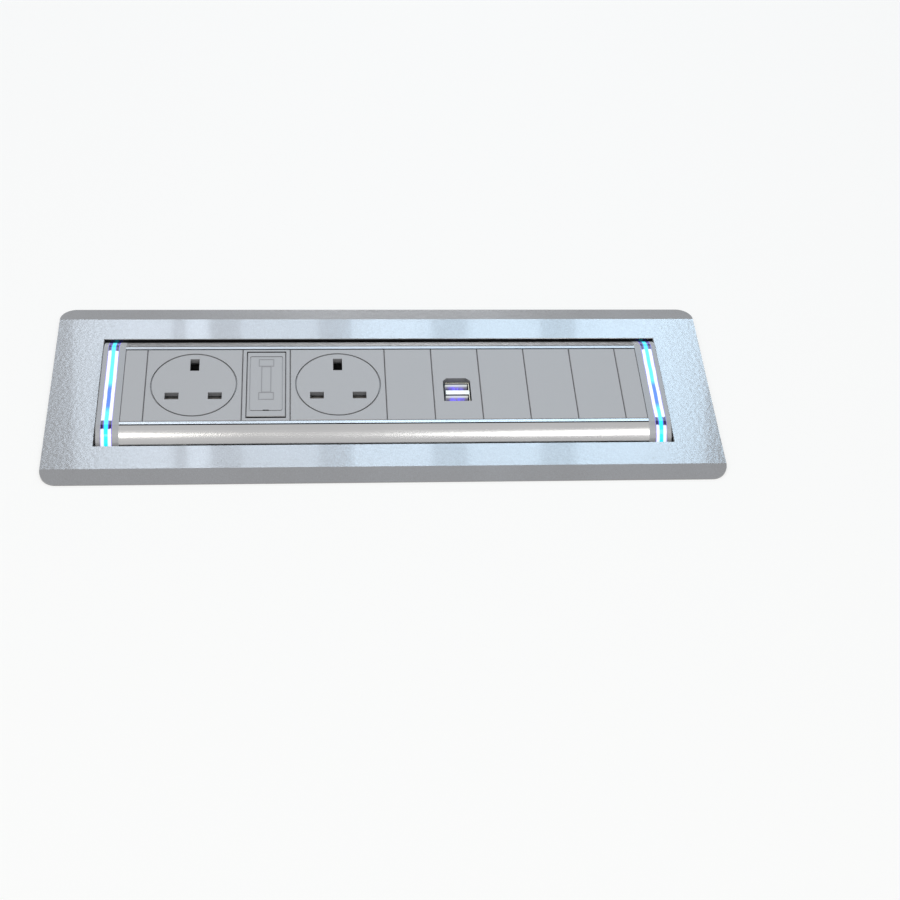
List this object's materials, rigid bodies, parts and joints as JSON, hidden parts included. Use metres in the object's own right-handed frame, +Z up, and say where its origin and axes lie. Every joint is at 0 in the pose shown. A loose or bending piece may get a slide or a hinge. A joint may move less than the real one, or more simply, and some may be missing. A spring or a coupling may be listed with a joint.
{
  "type": "desk power unit",
  "caption": "Motorised in-desk power unit: a rotor with mains sockets, a fuse drawer and charging ports turns over in a flat silver rim, between clear rings lit blue.",
  "frame": {"origin": "middle of the rim's opening, level with the worktop's surface, which is the rim's underside", "axes": "+X along the unit to the charging ports' end, +Y to the rear of the desk, +Z up"},
  "size_m": [0.363, 0.1244, 0.0855],
  "materials": {
    "rim_coat": "glossy silver-grey coat with a fine orange-peel texture",
    "flange_paint": "satin mid-grey coat",
    "anodised": "satin anodised",
    "module_plastic": "matt cool grey moulding",
    "clear_acrylic": "polished clear acrylic",
    "light_strip": "diffusing strip, lit blue",
    "white_plastic": "plain moulding",
    "zinc_sheet": "zinc-plated sheet",
    "zinc_fixing": "zinc-plated",
    "bush_plastic": "self-lubricating bearing plastic",
    "gear_plastic": "acetal",
    "brass": "plain brass",
    "steel": "ground steel",
    "motor_can": "nickel-plated can",
    "black_plastic": "black moulding",
    "shutter_plastic": "dark grey moulding",
    "ceramic": "glazed ceramic body with plated caps",
    "port_shell": "nickel-plated shell",
    "port_tongue": "blue tongue",
    "board_green": "solder-masked board with its parts",
    "supply_case": "black coated case"
  },
  "bodies": {
    "housing": {"bezel_frame": "rim_coat", "frame_nuts": "zinc_fixing", "housing_trough": "zinc_sheet", "bearing_plate_left": "zinc_sheet", "bearing_plate_right": "zinc_sheet", "shaft_bush_left": "bush_plastic", "shaft_bush_right": "bush_plastic", "end_cover_left": "zinc_sheet", "end_cover_right": "zinc_sheet", "housing_screws": "zinc_fixing", "gearmotor": "motor_can", "idler_axle": "steel", "power_supply": "supply_case", "control_board": "board_green", "supply_inlet": "black_plastic", "inlet_pins": "brass"},
    "rotor": {"rotor_rail_front": "anodised", "rotor_rail_rear": "anodised", "closing_panel": "module_plastic", "inner_flange_left": "flange_paint", "inner_flange_right": "flange_paint", "outer_flange_left": "flange_paint", "outer_flange_right": "flange_paint", "light_ring_left": "clear_acrylic", "light_ring_right": "clear_acrylic", "ring_core_left": "white_plastic", "ring_core_right": "white_plastic", "led_strips": "light_strip", "rotor_screws": "zinc_fixing", "rotor_gear": "gear_plastic", "blank_module_1": "module_plastic", "blank_module_2": "module_plastic", "blank_module_3": "module_plastic", "blank_module_4": "module_plastic", "end_blank_left": "module_plastic", "end_blank_right": "module_plastic", "socket_plate_left": "module_plastic", "socket_plate_right": "module_plastic", "socket_back_left": "black_plastic", "socket_back_right": "black_plastic", "socket_contacts": "brass", "shutter_spring_left": "steel", "shutter_spring_right": "steel", "fuse_frame": "module_plastic", "fuse_clips": "brass", "usb_plate": "module_plastic", "usb_ports": "port_shell", "usb_tongues": "port_tongue", "usb_board": "board_green"},
    "idler": {"idler_gear": "gear_plastic"},
    "pinion": {"gearmotor_shaft": "steel", "motor_pinion": "brass"},
    "shutter_left": {"shutter_left": "shutter_plastic"},
    "shutter_right": {"shutter_right": "shutter_plastic"},
    "fuse_drawer": {"fuse_carrier": "module_plastic", "fuse_cartridge": "ceramic"},
    "clamp_left": {"clamp_bracket_left": "zinc_sheet"},
    "clamp_right": {"clamp_bracket_right": "zinc_sheet"},
    "knob_left": {"clamp_knob_left": "black_plastic"},
    "knob_right": {"clamp_knob_right": "black_plastic"}
  },
  "joints": [
    {"name": "rotor_turn", "type": "hinge", "parent": "housing", "child": "rotor", "pos_m": [0, 0, -0.01815], "axis": [1, 0, 0], "range_deg": [0, 180]},
    {"name": "idler_spin", "type": "hinge", "parent": "housing", "child": "idler", "pos_m": [0.1576, 0.01702, -0.04285], "axis": [1, 0, 0], "range_deg": [-180, 0]},
    {"name": "pinion_spin", "type": "hinge", "parent": "housing", "child": "pinion", "pos_m": [0.1576, 0.0312, -0.06344], "axis": [1, 0, 0], "range_deg": [0, 270]},
    {"name": "shutter_left_slide", "type": "slide", "parent": "rotor", "child": "shutter_left", "axis": [0, -1, 0], "range_m": [0, 0.0065], "stiffness_N_per_m": 100, "springref_m": -0.002, "deforming": ["shutter_spring_left"]},
    {"name": "shutter_right_slide", "type": "slide", "parent": "rotor", "child": "shutter_right", "axis": [0, -1, 0], "range_m": [0, 0.0065], "stiffness_N_per_m": 100, "springref_m": -0.002, "deforming": ["shutter_spring_right"]},
    {"name": "fuse_drawer_slide", "type": "slide", "parent": "rotor", "child": "fuse_drawer", "axis": [0, 0, 1], "range_m": [0, 0.016]},
    {"name": "clamp_left_slide", "type": "slide", "parent": "housing", "child": "clamp_left", "axis": [0, 0, 1], "range_m": [-0.01, 0.01]},
    {"name": "knob_left_turn", "type": "hinge", "parent": "housing", "child": "knob_left", "pos_m": [-0.17, 0, -0.05], "axis": [-1, 0, 0], "range_deg": [0, 360]},
    {"name": "clamp_right_slide", "type": "slide", "parent": "housing", "child": "clamp_right", "axis": [0, 0, 1], "range_m": [-0.01, 0.01]},
    {"name": "knob_right_turn", "type": "hinge", "parent": "housing", "child": "knob_right", "pos_m": [0.17, 0, -0.05], "axis": [1, 0, 0], "range_deg": [0, 360]}
  ],
  "couplings": [
    {"joint": "idler_spin", "follows": "rotor_turn", "ratio": -1},
    {"joint": "pinion_spin", "follows": "rotor_turn", "ratio": 1.5}
  ]
}
